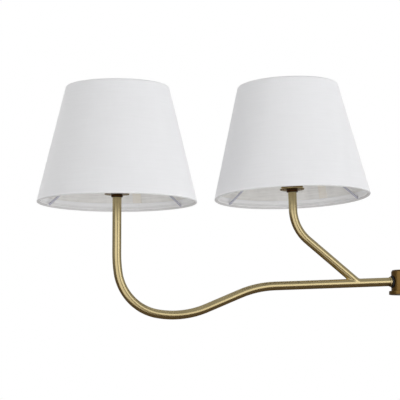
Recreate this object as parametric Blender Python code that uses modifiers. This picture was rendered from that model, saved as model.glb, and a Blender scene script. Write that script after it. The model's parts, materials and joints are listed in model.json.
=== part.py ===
"""Twin shade swing arm wall sconce: a bent brass arm on a vertical knuckle, with two empire shades.

Frame: the origin is the centre of the wall strap's rear face, +X points into the wall, +Z is up.
The arm stands straight out from the wall, along -X, and lies in the plane Y = 0.
"""

import math

import bmesh
import bpy
from mathutils import Matrix, Vector

MM = 0.001
GAP = 0.3 * MM
MERGE = 0.00001

# Wall side
CANOPY_RADIUS = 60 * MM
CANOPY_DEPTH = 24 * MM
CANOPY_WALL = 1.5 * MM
CANOPY_EDGE_ROUND = 9 * MM
STRAP_LENGTH = 106 * MM
STRAP_WIDTH = 22 * MM
STRAP_THICKNESS = 2.8 * MM
STRAP_SLOT_AT = 24 * MM
STRAP_SLOT_LENGTH = 12 * MM
STRAP_SLOT_WIDTH = 4.5 * MM
STUD_AT = 38 * MM
STUD_RADIUS = 2 * MM
STUD_END = 31 * MM
CAP_NUT_RADIUS = 5.5 * MM
CAP_NUT_LENGTH = 11 * MM
EARTH_SCREW_AT = 12 * MM
BRACKET_TUBE_RADIUS = 8 * MM
BRACKET_TUBE_BORE = 6 * MM
BRACKET_TUBE_REAR = 15 * MM
DIMMER_AT = 36 * MM
DIMMER_SHAFT_RADIUS = 3 * MM
KNOB_RADIUS = 9 * MM
KNOB_LENGTH = 14 * MM

# Knuckle
PIVOT_OUT = 100 * MM
BARREL_RADIUS = 15.2 * MM
BARREL_TOP = 16.2 * MM
EAR_TOP = -15.7 * MM
EAR_BOTTOM = -21.4 * MM
EAR_RADIUS = 18.9 * MM
EAR_WIDTH = 24 * MM
NECK_INSET = 0.8 * MM
NECK_START = 10.5 * MM
BRACKET_FACE = 81.5 * MM
BRACKET_PLATE = 6 * MM
BRACKET_PLATE_TOP = 12 * MM
POST_RADIUS = 8 * MM
POST_BORE = 5 * MM
POST_TOP = 14.3 * MM
RECESS_RADIUS = 12.4 * MM
RECESS_FLOOR = 7 * MM
SPOT_FACE = 13.7 * MM

# Arm: each bend is (straight before it, bend radius, turn in degrees), upward turns positive
TUBE_RADIUS = 7 * MM
TUBE_BORE = 6 * MM
TUBE_START = 19.9 * MM
ARM_SLOPE = -3.2
ARM_BENDS = [(215, 170, -20), (60, 147, 32), (0, 75, 72.6), (0, 200, 8.6)]
ARM_STEM = 86.9 * MM
BRANCH_RADIUS = 6.8 * MM
BRANCH_BORE = 5.8 * MM
BRANCH_AT = 73.4 * MM
BRANCH_AT_HEIGHT = -4.6 * MM
BRANCH_SLOPE = 38.6
BRANCH_BENDS = [(107.82, 64, 49.83)]
BRANCH_STEM = 28.08 * MM
BRANCH_LEAN_BACK = 2.2
BEND_STEP = 9
CABLE_RADIUS = 2 * MM

# Light: heights are measured along the stem from the tube's end
NIPPLE_RADIUS = 5 * MM
NIPPLE_BORE = 3.2 * MM
COLLAR_RADIUS = 9.3 * MM
COLLAR_HEIGHT = 3.7 * MM
DISC_RADIUS = 19.6 * MM
DISC_THICKNESS = 2 * MM
CUP_RADIUS = 18.5 * MM
CUP_HEIGHT = 20 * MM
HOLDER_RADIUS = 19.6 * MM
HOLDER_TOP = 62 * MM
HOLDER_FLANGE = 23.5 * MM
FITTER_HEIGHT = 51 * MM
FITTER_PLATE = 2.4 * MM
LAMP_RADIUS = 30 * MM
LAMP_TOP = 140 * MM

# Shade
SHADE_BOTTOM_RADIUS = 125 * MM
SHADE_TOP_RADIUS = 80.5 * MM
SHADE_HEIGHT = 182 * MM
SHADE_DROP = 8.5 * MM
SHADE_WALL = 0.8 * MM
RING_WIRE = 1.5 * MM
FITTER_WIRE = 1.4 * MM
FITTER_RISE = 36.5
FITTER_FIRST_ARM = 13.4
FITTER_ARMS = 3

COLOURS = {
    "brass": ((0.42, 0.29, 0.11), 0.35, 1.0),
    "dark_bronze": ((0.05, 0.035, 0.02), 0.5, 0.7),
    "steel": ((0.55, 0.55, 0.56), 0.4, 1.0),
    "black_nylon": ((0.01, 0.01, 0.011), 0.55, 0.0),
    "white_nylon": ((0.75, 0.74, 0.70), 0.5, 0.0),
    "black_phenolic": ((0.02, 0.02, 0.02), 0.35, 0.0),
    "steatite": ((0.80, 0.78, 0.72), 0.45, 0.0),
    "cable": ((0.55, 0.38, 0.12), 0.5, 0.0),
    "opal_glass": ((0.85, 0.85, 0.82), 0.25, 0.0),
    "white_fabric": ((0.80, 0.79, 0.78), 0.9, 0.0),
    "frame_wire": ((0.62, 0.62, 0.62), 0.4, 0.2),
}

AXIS_OUT = Matrix.Rotation(math.radians(-90), 4, "Y")


def clear_scene():
    for obj in list(bpy.data.objects):
        bpy.data.objects.remove(obj, do_unlink=True)


def make_collection(name):
    collection = bpy.data.collections.new(name)
    bpy.context.scene.collection.children.link(collection)
    return collection


def make_material(name):
    colour, roughness, metallic = COLOURS[name]
    material = bpy.data.materials.new(name)
    material.use_nodes = True
    shader = material.node_tree.nodes["Principled BSDF"]
    shader.inputs["Base Color"].default_value = (*colour, 1)
    shader.inputs["Roughness"].default_value = roughness
    shader.inputs["Metallic"].default_value = metallic
    return material


clear_scene()
PARTS = make_collection("swing_arm_sconce")
CUTTERS = make_collection("cutters")
MATERIALS = {name: make_material(name) for name in COLOURS}


def add_object(name, data, material, place=None, parent=None):
    """Link a mesh or curve as a part, placed by a matrix in its parent's frame."""
    obj = bpy.data.objects.new(name, data)
    PARTS.objects.link(obj)
    data.materials.append(MATERIALS[material])
    obj.parent = parent
    obj.matrix_local = place or Matrix.Identity(4)
    return obj


def add_empty(name, matrix):
    empty = bpy.data.objects.new(name, None)
    CUTTERS.objects.link(empty)
    empty.matrix_world = matrix
    bpy.context.view_layer.update()
    return empty


def as_cutter(obj):
    obj.hide_render = True
    obj.display_type = "WIRE"
    PARTS.objects.unlink(obj)
    CUTTERS.objects.link(obj)
    return obj


def turned(name, profile, material, segments=24, place=None, parent=None):
    """Turn a profile of (radius, height) in mm, down its outer side; a bore closes the loop."""
    mesh = bpy.data.meshes.new(name)
    points = [(radius * MM, 0, height * MM) for radius, height in profile]
    edges = [(index, index + 1) for index in range(len(points) - 1)]
    if profile[0][0] > 0:
        edges.append((len(points) - 1, 0))
    mesh.from_pydata(points, edges, [])
    obj = add_object(name, mesh, material, place, parent)
    screw = obj.modifiers.new("turn", "SCREW")
    screw.angle = math.tau
    screw.steps = segments
    screw.render_steps = segments
    screw.use_merge_vertices = True
    screw.merge_threshold = MERGE
    screw.use_smooth_shade = True
    return obj


def ring(name, outer, inner, low, high, material, segments=24, place=None, parent=None):
    profile = [(outer, high), (outer, low), (inner, low), (inner, high)]
    return turned(name, profile, material, segments, place, parent)


def rod(name, radius, low, high, material, segments=20, place=None, parent=None):
    profile = [(0, high), (radius, high), (radius, low), (0, low)]
    return turned(name, profile, material, segments, place, parent)


def block(name, low, high, material, bevel=0.0, place=None, parent=None):
    """A box between two corners in mm, with its edges rounded by bevel in mm."""
    size = [(b - a) * MM for a, b in zip(low, high)]
    middle = [(a + b) / 2 * MM for a, b in zip(low, high)]
    mesh = bpy.data.meshes.new(name)
    shape = bmesh.new()
    bmesh.ops.create_cube(shape, size=1, matrix=Matrix.Translation(middle) @ Matrix.Diagonal((*size, 1)))
    shape.to_mesh(mesh)
    shape.free()
    obj = add_object(name, mesh, material, place, parent)
    if bevel:
        edge = obj.modifiers.new("round", "BEVEL")
        edge.width = bevel * MM
        edge.segments = 1
    return obj


def cut(target, cutter, operation="DIFFERENCE"):
    boolean = target.modifiers.new(operation.lower(), "BOOLEAN")
    boolean.operation = operation
    boolean.object = cutter
    boolean.solver = "EXACT"


def hexagon(name, flats, bore, low, high, material, place):
    """A hex nut: a six sided prism with a round bore."""
    nut = rod(name, flats / math.sqrt(3), low, high, material, 6, place)
    nut.modifiers["turn"].use_smooth_shade = False
    cut(nut, as_cutter(rod(name + "_bore", bore, low - 2, high + 2, material, 20, place)))
    return nut


def tube_mesh(name, points, radius, sides, material):
    """A round bar along a list of points, as a mesh with welded caps."""
    curve = bpy.data.curves.new(name, "CURVE")
    curve.dimensions = "3D"
    curve.bevel_depth = radius
    curve.bevel_resolution = sides // 2 - 2
    curve.use_fill_caps = True
    spline = curve.splines.new("POLY")
    spline.points.add(len(points) - 1)
    for point, place in zip(spline.points, points):
        point.co = (*place, 1)
        point.radius = 1
    source = bpy.data.objects.new(name + "_curve", curve)
    PARTS.objects.link(source)
    bpy.context.view_layer.update()
    graph = bpy.context.evaluated_depsgraph_get()
    mesh = bpy.data.meshes.new_from_object(source.evaluated_get(graph))
    shape = bmesh.new()
    shape.from_mesh(mesh)
    bmesh.ops.remove_doubles(shape, verts=shape.verts, dist=MERGE)
    bmesh.ops.recalc_face_normals(shape, faces=shape.faces)
    shape.to_mesh(mesh)
    shape.free()
    matrix = source.matrix_world.copy()
    bpy.data.objects.remove(source, do_unlink=True)
    mesh.name = name
    mesh.materials.clear()
    obj = add_object(name, mesh, material, matrix)
    mesh.shade_smooth()
    mesh.set_sharp_from_angle(angle=math.radians(40))
    return obj


def bend_path(start, slope, bends, stem, first=0.0):
    """Centreline in the arm's plane as (out, up) points, with the heading at its end."""
    heading = math.radians(slope)
    place = Vector(start) + Vector((math.cos(heading), math.sin(heading))) * first
    left = -first
    points = [place.copy()]
    for straight, radius, turn in bends:
        length = straight * MM + left
        left = 0.0
        if length > 0:
            place = place + Vector((math.cos(heading), math.sin(heading))) * length
            points.append(place.copy())
        side = math.copysign(radius * MM, turn)
        centre = place + side * Vector((-math.sin(heading), math.cos(heading)))
        steps = max(3, round(abs(turn) / BEND_STEP))
        begin = heading
        for step in range(1, steps + 1):
            heading = begin + math.radians(turn) * step / steps
            points.append(centre - side * Vector((-math.sin(heading), math.cos(heading))))
        place = points[-1].copy()
    points.append(place + Vector((math.cos(heading), math.sin(heading))) * stem)
    return points, heading


def in_plane(points, lean=0.0):
    """Carry (out, up) points into the frame, in a plane that leans back about the X axis."""
    tilt = Matrix.Rotation(math.radians(-lean), 3, "X")
    return [tilt @ Vector((-PIVOT_OUT - out, 0, up)) for out, up in points]


def stretched(points, start, end):
    """The same path with its first and last points moved on by start and end metres."""
    longer = list(points)
    longer[0] = points[0] + (points[0] - points[1]).normalized() * start
    longer[-1] = points[-1] + (points[-1] - points[-2]).normalized() * end
    return longer


def hollow_tube(name, points, outer, bore, material):
    tube = tube_mesh(name, points, outer, 12, material)
    cut(tube, as_cutter(tube_mesh(name + "_bore", stretched(points, 0.002, 0.002), bore, 12, material)))
    return tube


def build_wall_side():
    """The strap on the wall, the canopy over it and what is inside."""
    half = STRAP_LENGTH / 2 / MM
    wide = STRAP_WIDTH / 2 / MM
    thick = STRAP_THICKNESS / MM
    strap = block("wall_strap", (-thick, -half, -wide), (0, half, wide), "steel", 0.6)
    slot = STRAP_SLOT_LENGTH / 2 / MM
    for side in (-1, 1):
        middle = side * STRAP_SLOT_AT / MM
        wide_slot = STRAP_SLOT_WIDTH / 2 / MM
        low = (-thick - 2, middle - slot, -wide_slot)
        high = (2, middle + slot, wide_slot)
        cut(strap, as_cutter(block("strap_slot", low, high, "steel")))

    depth = CANOPY_DEPTH / MM
    outer = CANOPY_RADIUS / MM
    wall = CANOPY_WALL / MM
    edge = CANOPY_EDGE_ROUND / MM
    hub = BRACKET_TUBE_RADIUS / MM + 0.3
    skin = [(hub, depth)]
    for step in range(4):
        angle = math.radians(90 - 90 * step / 3)
        skin.append((outer - edge + edge * math.cos(angle), depth - edge + edge * math.sin(angle)))
    skin.append((outer, 0))
    lining = [(outer - wall, 0)]
    for step in range(4):
        angle = math.radians(90 * step / 3)
        reach = edge - wall
        lining.append((outer - edge + reach * math.cos(angle), depth - edge + reach * math.sin(angle)))
    lining.append((hub, depth - wall))
    canopy = turned("canopy", skin + lining, "brass", 32, AXIS_OUT)

    for name, side in (("rear", 1), ("front", -1)):
        axis = Matrix.Translation((0, side * STUD_AT, 0)) @ AXIS_OUT
        radius = STUD_RADIUS / MM
        rod(name + "_canopy_stud", radius, 0.3, STUD_END / MM, "steel", 12, axis)
        hole = rod("stud_hole", radius + 0.3, -2, depth + 4, "steel", 16, axis)
        as_cutter(hole)
        cut(strap, hole)
        cut(canopy, hole)
        nut_end = depth + 0.3 + CAP_NUT_LENGTH / MM
        cap = CAP_NUT_RADIUS / MM
        profile = [(0, nut_end), (cap * 0.55, nut_end - 0.4), (cap, nut_end - 3), (cap, depth + 0.3)]
        profile += [(radius + 0.3, depth + 0.3), (radius + 0.3, STUD_END / MM + 0.5)]
        profile.append((0, STUD_END / MM + 0.5))
        turned(name + "_cap_nut", profile, "brass", 20, axis)

    tube = BRACKET_TUBE_RADIUS / MM
    bore = BRACKET_TUBE_BORE / MM
    far = (BRACKET_FACE - BRACKET_PLATE) / MM - 0.3
    ring("bracket_tube", tube, bore, BRACKET_TUBE_REAR / MM, far, "brass", 24, AXIS_OUT)
    front = depth + 0.3
    collar = [(tube + 0.3, front + 10), (tube + 2.5, front + 10), (tube + 3.4, front + 8)]
    collar += [(tube + 3.4, front + 6), (tube + 7.5, front + 3), (tube + 8, front), (tube + 0.3, front)]
    turned("hub_collar", collar, "brass", 24, AXIS_OUT)
    inside = depth - wall - 0.3
    hexagon("hub_lock_nut", 24, tube + 0.3, inside - 5, inside, "steel", AXIS_OUT)

    low = DIMMER_AT / MM + 11
    top = DIMMER_AT / MM - 11
    body = block("dimmer_body", (-inside, -13, -low), (-9, 13, -top), "black_phenolic", 0.8)
    axis = Matrix.Translation((0, 0, -DIMMER_AT)) @ AXIS_OUT
    shaft = DIMMER_SHAFT_RADIUS / MM
    shaft_hole = as_cutter(rod("shaft_hole", shaft + 0.3, 13, depth + 4, "steel", 20, axis))
    cut(body, shaft_hole)
    cut(canopy, shaft_hole)
    ring("dimmer_bush_nut", 6.5, shaft + 0.3, front, front + 2.2, "brass", 20, axis)
    build_knob(axis, front + 2.8)

    strap_front = STRAP_THICKNESS / MM
    screw_axis = Matrix.Translation((0, -EARTH_SCREW_AT, 0)) @ AXIS_OUT
    cut(strap, as_cutter(rod("screw_hole", 2.0, -2, strap_front + 2, "steel", 16, screw_axis)))
    head = [(0, strap_front + 3), (3.2, strap_front + 3), (3.6, strap_front + 2)]
    head += [(3.6, strap_front + 0.3), (1.7, strap_front + 0.3), (1.7, 0.4), (0, 0.4)]
    turned("earth_screw", head, "brass", 16, screw_axis)
    block("terminal_block", (-18, -12, 24), (-6, 12, 40), "white_nylon", 0.8)


def build_knob(axis, low):
    """The dimmer's shaft and its knob, which turn together."""
    shaft = DIMMER_SHAFT_RADIUS / MM
    high = low + KNOB_LENGTH / MM
    pin = rod("dimmer_shaft", shaft, 13.4, high - 4, "steel", 16, axis)
    radius = KNOB_RADIUS / MM
    profile = [(0, high), (radius - 1.2, high), (radius, high - 1.2), (radius, low), (shaft + 0.3, low)]
    profile += [(shaft + 0.3, high - 3.6), (0, high - 3.6)]
    knob = turned("dimmer_knob", profile, "brass", 20, axis)
    mark = block("knob_mark", (-0.6, -radius - 1, high - 0.5), (0.6, -3, high + 1), "brass", 0, axis)
    cut(knob, as_cutter(mark))
    return pin, knob


def build_knuckle():
    """The bracket and post on the wall side, and the washers and nut on the post."""
    upright = Matrix.Translation((-PIVOT_OUT, 0, 0))
    face = BRACKET_FACE / MM
    plate = face - BRACKET_PLATE / MM
    wide = EAR_WIDTH / 2 / MM
    bottom = EAR_BOTTOM / MM
    ear = EAR_TOP / MM
    bracket = block("pivot_bracket", (-face, -wide, bottom), (-plate, wide, BRACKET_PLATE_TOP / MM), "brass")
    inset = NECK_INSET / MM
    low = (-(PIVOT_OUT - NECK_START) / MM, inset - wide, bottom + inset)
    high = (-face + 1, wide - inset, ear - inset)
    cut(bracket, as_cutter(block("ear_neck", low, high, "brass")), "UNION")
    ear_disc = as_cutter(rod("ear_disc", EAR_RADIUS / MM, bottom, ear, "brass", 32, upright))
    cut(bracket, ear_disc, "UNION")
    cut(bracket, as_cutter(rod("post_hole", POST_RADIUS / MM + 0.3, -40, -10, "brass", 28, upright)))
    cut(bracket, as_cutter(rod("cable_hole", 5, plate - 2, face + 2, "brass", 20, AXIS_OUT)))

    post = ring("pivot_post", POST_RADIUS / MM, POST_BORE / MM, bottom + 0.3, POST_TOP / MM, "steel", 24, upright)
    cut(post, as_cutter(rod("post_window", 3.4, 88, 112, "steel", 16, AXIS_OUT)))
    bore = POST_RADIUS / MM + 0.3
    ring("lower_friction_washer", 14, bore, ear + 0.3, ear + 1.1, "white_nylon", 20, upright)
    floor = RECESS_FLOOR / MM
    ring("upper_friction_washer", 12, bore, floor + 0.3, floor + 1.1, "white_nylon", 20, upright)
    ring("pivot_spring_washer", 11.5, bore, floor + 1.4, floor + 2.6, "steel", 20, upright)
    hexagon("pivot_lock_nut", 19, bore, floor + 2.9, floor + 7, "steel", upright)


def build_barrel():
    """The barrel that turns on the post, with its cap and the arm's coupling."""
    upright = Matrix.Translation((-PIVOT_OUT, 0, 0))
    outer = BARREL_RADIUS / MM
    top = BARREL_TOP / MM
    bore = POST_RADIUS / MM + 0.3
    recess = RECESS_RADIUS / MM
    floor = RECESS_FLOOR / MM
    ear = EAR_TOP / MM
    profile = [(recess, top), (outer - 0.6, top), (outer, top - 0.6), (outer, ear + 0.3)]
    profile += [(14.3, ear + 0.3), (14.3, ear + 1.4), (bore, ear + 1.4), (bore, floor), (recess, floor)]
    barrel = turned("swivel_barrel", profile, "brass", 28, upright)
    pivot = PIVOT_OUT / MM
    slot = block("barrel_slot", (-pivot - 3, -20, -3.6), (-pivot + 20, 20, 3.6), "brass")
    cut(barrel, as_cutter(slot))
    cap = [(0, top + 2.1), (outer - 2.6, top + 2.1), (outer - 0.8, top + 1.2), (outer - 0.8, top + 0.3)]
    cap += [(recess - 0.3, top + 0.3), (recess - 0.3, top - 1.4), (0, top - 1.4)]
    turned("barrel_cap", cap, "brass", 28, upright)

    along = upright @ Matrix.Rotation(math.radians(-90 + ARM_SLOPE), 4, "Y")
    start = TUBE_START / MM
    spigot = 5.6
    cut(barrel, as_cutter(rod("spot_face", 10.6, SPOT_FACE / MM, 22, "brass", 28, along)))
    cut(barrel, as_cutter(rod("spigot_hole", spigot + 0.3, 6, 20, "brass", 20, along)))
    washer = SPOT_FACE / MM + 0.3
    ring("arm_washer", 9.8, spigot + 0.3, washer, washer + 2.6, "black_nylon", 24, along)
    collar = washer + 2.9
    ferrule = [(spigot, start + 12), (spigot, start - 0.3), (7.6, start - 0.3), (8.3, start - 1.2)]
    ferrule += [(8.3, collar), (spigot, collar), (spigot, 9.6), (NIPPLE_BORE / MM, 9.6)]
    ferrule.append((NIPPLE_BORE / MM, start + 12))
    turned("arm_ferrule", ferrule, "brass", 18, along)


def build_arm():
    """Both brass tubes and the cables in them; returns the frames of the two stem ends."""
    arm, heading = bend_path((0, 0), ARM_SLOPE, ARM_BENDS, ARM_STEM, TUBE_START)
    arm_line = in_plane(arm)
    branch, branch_heading = bend_path(
        (BRANCH_AT, BRANCH_AT_HEIGHT), BRANCH_SLOPE, BRANCH_BENDS, BRANCH_STEM)
    branch_line = in_plane(branch, BRANCH_LEAN_BACK)
    main = hollow_tube("main_arm_tube", arm_line, TUBE_RADIUS, TUBE_BORE, "brass")
    side = hollow_tube("branch_tube", branch_line, BRANCH_RADIUS, BRANCH_BORE, "brass")
    fit = tube_mesh("branch_fit", arm_line[:2], TUBE_RADIUS + GAP, 24, "brass")
    cut(side, as_cutter(fit))
    first = (branch_line[1] - branch_line[0]).normalized()
    hole = [branch_line[0] + first * 0.002, branch_line[0] + first * 0.02]
    cut(main, as_cutter(tube_mesh("branch_hole", hole, 3.5 * MM, 12, "brass")))

    cable = stretched(arm_line, 0.0105, 0.02)
    tube_mesh("arm_cable", cable, CABLE_RADIUS, 6, "cable")
    lead = stretched(branch_line, 0, 0.02)
    lead[0] = branch_line[0] + first * 0.006
    tube_mesh("branch_cable", lead, CABLE_RADIUS, 6, "cable")
    wall_cable = [(-10, 0, 23.5), (-10, 0, 9), (-11.5, 0, 4), (-15, 0, 1), (-20, 0, 0), (-98, 0, 0)]
    tube_mesh("bracket_cable", [Vector(p) * MM for p in wall_cable], CABLE_RADIUS, 6, "cable")

    left = stem_frame(arm_line[-1], heading, 0)
    right = stem_frame(branch_line[-1], branch_heading, BRANCH_LEAN_BACK)
    return left, right


def stem_frame(end, heading, lean):
    """A frame at a stem's end with +Z along the stem."""
    tilt = Matrix.Rotation(math.radians(-lean), 4, "X")
    outward = Matrix.Rotation(heading - math.radians(90), 4, "Y")
    return Matrix.Translation(end) @ tilt @ outward


def build_light(side, stem):
    """Everything on a stem's end except the shade."""
    axis = add_empty(side + "_stem_axis", stem)

    def make(shape, name, *sizes, segments=20):
        return shape(side + "_" + name, *sizes, segments=segments, parent=axis)

    bore = NIPPLE_BORE / MM
    thread = NIPPLE_RADIUS / MM
    collar_top = 0.3 + COLLAR_HEIGHT / MM
    disc_low = collar_top + 0.3
    disc_top = disc_low + DISC_THICKNESS / MM
    disc = DISC_RADIUS / MM
    nipple = [(bore, disc_top + 5), (thread, disc_top + 5), (thread, 0), (thread + 0.5, -0.3)]
    nipple += [(thread + 0.5, -12), (bore, -12)]
    make(turned, "threaded_nipple", nipple, "brass", segments=14)
    make(ring, "collar_nut", COLLAR_RADIUS / MM, thread + 0.3, 0.3, collar_top, "dark_bronze")
    rim = [(thread + 0.3, disc_top), (disc - 0.5, disc_top), (disc, disc_top - 0.5)]
    rim += [(disc, disc_low + 0.5), (disc - 0.5, disc_low), (thread + 0.3, disc_low)]
    make(turned, "drip_disc", rim, "brass", segments=28)

    cup = CUP_RADIUS / MM
    floor = disc_top + 0.3
    cup_top = floor + CUP_HEIGHT / MM
    profile = [(cup - 1, cup_top), (cup, cup_top), (cup, floor + 5), (cup - 2.5, floor), (thread + 0.3, floor)]
    profile += [(thread + 0.3, floor + 1.2), (cup - 3, floor + 1.2), (cup - 1, floor + 5.5)]
    make(turned, "lampholder_cup", profile, "brass")

    skirt = HOLDER_RADIUS / MM
    low = cup_top + 0.3
    seat = (FITTER_HEIGHT - FITTER_PLATE / 2) / MM - 0.3
    high = HOLDER_TOP / MM
    profile = [(skirt - 2, high), (skirt, high), (skirt, seat), (HOLDER_FLANGE / MM, seat)]
    profile += [(HOLDER_FLANGE / MM, seat - 2), (skirt, seat - 2.5), (skirt, low), (skirt - 2, low)]
    make(turned, "lampholder_shell", profile, "black_phenolic")
    inner = skirt - 2.3
    core = [(0, low + 8.5), (4, low + 8), (4, low + 6), (inner, low + 6), (inner, low), (0, low)]
    make(turned, "lampholder_core", core, "steatite", segments=20)
    make(ring, "screw_shell", 14.4, 13.7, low + 6.3, high - 2, "brass", segments=20)
    nut_low = (FITTER_HEIGHT + FITTER_PLATE / 2) / MM + 0.3
    make(ring, "shade_ring_nut", 25.5, skirt + 0.3, nut_low, nut_low + 7, "black_phenolic")

    base_low = low + 8.9
    base_top = high + 2
    base = [(0, base_top), (13.3, base_top), (13.3, base_low + 4), (9, base_low + 2.5)]
    base += [(5, base_low), (0, base_low)]
    make(turned, "bulb_base", base, "steel", segments=20)
    wide = LAMP_RADIUS / MM
    centre = LAMP_TOP / MM - wide
    glass = []
    for step in range(7):
        angle = math.radians(90 - 125 * step / 6)
        glass.append((wide * math.cos(angle), centre + wide * math.sin(angle)))
    glass[0] = (0, LAMP_TOP / MM)
    glass += [(16.5, base_top + 9), (14, base_top + 2), (13.3, base_top + 0.3), (0, base_top + 0.3)]
    make(turned, "bulb_glass", glass, "opal_glass", segments=20)
    return axis


def build_shade(side, axis):
    """An empire shade with a wire at each edge and a three armed fitter."""
    wide = SHADE_BOTTOM_RADIUS / MM
    narrow = SHADE_TOP_RADIUS / MM
    low = -SHADE_DROP / MM
    high = low + SHADE_HEIGHT / MM
    wall = SHADE_WALL / MM
    taper = (wide - narrow) / (high - low)
    profile = [(narrow, high), (wide, low), (wide - wall, low), (narrow - wall, high)]
    turned(side + "_shade_cover", profile, "white_fabric", 48, None, axis)
    wire = RING_WIRE / MM
    inset = 3.0
    reach = wall + wire + 0.4
    for name, height in (("top", high - inset), ("bottom", low + inset)):
        radius = wide - (height - low) * taper - reach
        outline = []
        for step in range(5):
            angle = math.radians(90 - 72 * step)
            outline.append((radius + wire * math.cos(angle), height + wire * math.sin(angle)))
        turned(side + "_" + name + "_ring", outline, "frame_wire", 36, None, axis)

    plate = FITTER_HEIGHT / MM
    thick = FITTER_PLATE / MM / 2
    hub_in = HOLDER_RADIUS / MM + 0.4
    fitter = ring(side + "_fitter", hub_in + 4, hub_in, plate - thick, plate + thick, "frame_wire", 20, None, axis)
    foot = wide - inset * taper - reach - wire - 0.3 - FITTER_WIRE / MM
    knee = foot - (plate - low - inset) / math.tan(math.radians(FITTER_RISE))
    route = [(foot, low + inset), (knee + 4, plate - 3), (knee, plate - 0.8), (knee - 5, plate)]
    route.append((hub_in + 2, plate))
    for arm in range(FITTER_ARMS):
        around = math.radians(FITTER_FIRST_ARM + 360 * arm / FITTER_ARMS)
        points = [Vector((r * math.cos(around), r * math.sin(around), z)) * MM for r, z in route]
        wire_arm = tube_mesh(side + "_fitter_arm", points, FITTER_WIRE, 6, "frame_wire")
        wire_arm.parent = axis
        wire_arm.matrix_parent_inverse = Matrix.Identity(4)
        cut(fitter, as_cutter(wire_arm), "UNION")


build_wall_side()
build_knuckle()
build_barrel()
for light, stem_end in zip(("left", "right"), build_arm()):
    stem_axis = build_light(light, stem_end)
    build_shade(light, stem_axis)
bpy.context.view_layer.update()
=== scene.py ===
"""Finished surfaces for a twin shade swing arm wall sconce, laid out as an add-on and run as a script."""

import json
import math

import bmesh
import bpy
from bpy.props import FloatProperty, FloatVectorProperty, IntProperty
from mathutils import Matrix, Vector


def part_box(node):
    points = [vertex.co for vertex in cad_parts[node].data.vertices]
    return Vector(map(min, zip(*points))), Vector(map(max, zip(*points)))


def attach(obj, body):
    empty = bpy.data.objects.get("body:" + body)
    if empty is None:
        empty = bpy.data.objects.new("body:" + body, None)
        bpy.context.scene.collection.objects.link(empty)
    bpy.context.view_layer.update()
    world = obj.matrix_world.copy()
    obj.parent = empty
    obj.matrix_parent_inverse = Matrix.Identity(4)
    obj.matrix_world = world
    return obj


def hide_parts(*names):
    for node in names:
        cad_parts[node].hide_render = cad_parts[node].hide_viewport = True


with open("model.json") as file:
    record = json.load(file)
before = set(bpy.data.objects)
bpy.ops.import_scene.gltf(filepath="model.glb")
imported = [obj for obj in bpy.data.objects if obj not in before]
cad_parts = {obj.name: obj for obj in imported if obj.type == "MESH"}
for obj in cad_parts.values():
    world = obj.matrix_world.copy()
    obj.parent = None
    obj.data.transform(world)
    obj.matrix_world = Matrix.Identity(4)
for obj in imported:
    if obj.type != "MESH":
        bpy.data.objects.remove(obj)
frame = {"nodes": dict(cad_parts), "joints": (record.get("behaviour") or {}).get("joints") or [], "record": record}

bl_info = {
    "name": "Swing arm sconce",
    "version": (1, 0, 0),
    "blender": (4, 5, 0),
    "location": "3D View > Sidebar > Sconce",
    "description": "Models the brasswork, lampholders and linen shades of a swing arm wall sconce",
    "category": "Add Mesh",
}

MM = 0.001
WELD = 1e-6
EDGE_ANGLE = 30  # degrees; sharper edges are rounded
BEND_STEP = 2.5  # degrees between two rings of a bent tube
SHADE_SEGMENTS = 192  # steps round a shade
WALL_STEPS = 12  # steps up a shade
FLAT = 1000  # mm; a cell too long to matter, across a cloth's flat map
SIDES = ("left", "right")
JOINTS = {joint["name"]: joint for joint in frame["joints"]}
PIVOT = Vector(JOINTS["arm_swing"]["pos_m"])
UP = Vector((0, 0, 1))
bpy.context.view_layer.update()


def half_size(node, axis):
    """Half of a node's size along a row axis, in metres."""
    low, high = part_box(node)
    return (high[axis] - low[axis]) / 2


def hex_colour(code):
    """An sRGB hex colour as linear red, green and blue."""
    channels = [int(code[place:place + 2], 16) / 255 for place in (1, 3, 5)]
    return tuple(c / 12.92 if c <= 0.04045 else ((c + 0.055) / 1.055) ** 2.4 for c in channels)


def length(name, about, default):
    return FloatProperty(name=name, description=about, default=default, min=0, unit="LENGTH", precision=5)


def angle(name, about, degrees):
    return FloatProperty(name=name, description=about, default=math.radians(degrees), subtype="ANGLE")


def colour(name, about, code):
    return FloatVectorProperty(
        name=name, description=about, subtype="COLOR", size=3, min=0, max=1, default=hex_colour(code))


# ---------------------------------------------------------------- settings


class SconceArmSettings(bpy.types.PropertyGroup):
    tube_radius: length("Tube radius", "Outside radius of the main tube", half_size("main_arm_tube", 1))
    branch_radius: length("Branch radius", "Outside radius of the branch tube", 6.8 * MM)
    wall: length("Tube wall", "Wall of both tubes", 1.0 * MM)
    start: length("Tube start", "Where the main tube starts, out from the pivot", 19.9 * MM)
    slope: angle("Slope", "Slope of the main tube's first run", -3.2)
    stem: length("Left stem", "Straight run up to the left lampholder", 86.9 * MM)
    branch_at: length("Branch place", "Where the branch starts, out from the pivot", 73.4 * MM)
    branch_drop: length("Branch drop", "How far its start lies under the pivot's middle", 4.6 * MM)
    branch_slope: angle("Branch slope", "Slope of the branch's straight run", 38.6)
    branch_stem: length("Right stem", "Straight run up to the right lampholder", 28.08 * MM)
    branch_lean: angle("Branch lean", "How far the branch leans back from plumb", 2.2)
    fillet: length("Braze fillet", "Reach of the brazed fillet round the branch's foot", 2.6 * MM)


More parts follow.
